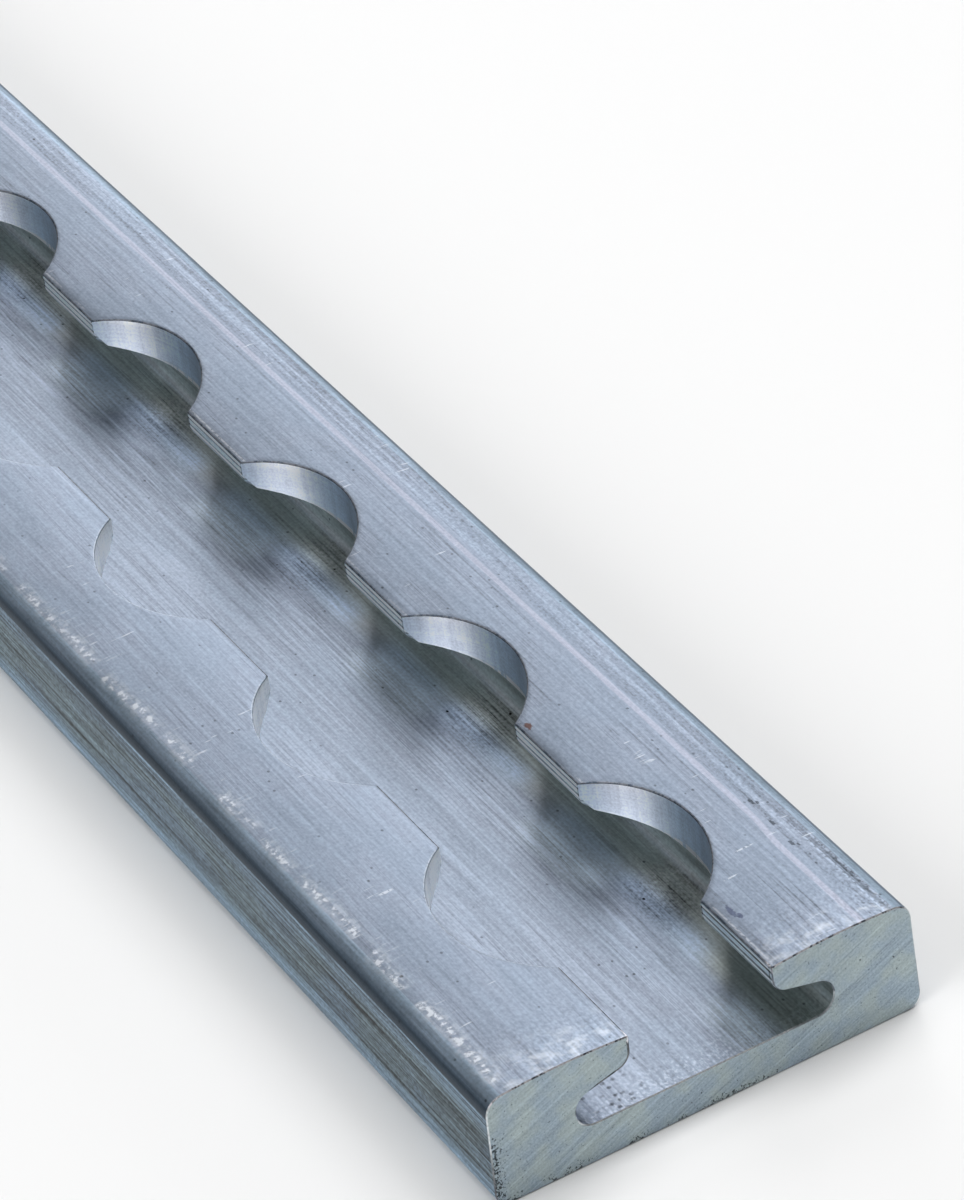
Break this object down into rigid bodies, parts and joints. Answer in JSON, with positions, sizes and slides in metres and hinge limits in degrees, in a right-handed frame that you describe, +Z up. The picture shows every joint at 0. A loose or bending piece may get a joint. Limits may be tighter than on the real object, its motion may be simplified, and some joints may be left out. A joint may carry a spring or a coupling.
{
  "type": "aluminium extrusion profile",
  "caption": "Flat cargo track rail: an aluminium extrusion with a T-shaped slot whose lips are scalloped by a row of round access holes, sawn square at both ends.",
  "frame": {"origin": "middle of the flat underside", "axes": "+X along the rail, towards the sawn end in the picture; +Y across it; +Z up, out of the slot"},
  "size_m": [1, 0.0344, 0.0096],
  "materials": {
    "mill_aluminium": "mill finish, satin, with lengthwise die lines and saw-cut ends"
  },
  "bodies": {
    "root": {"rail": "mill_aluminium"}
  },
  "joints": []
}
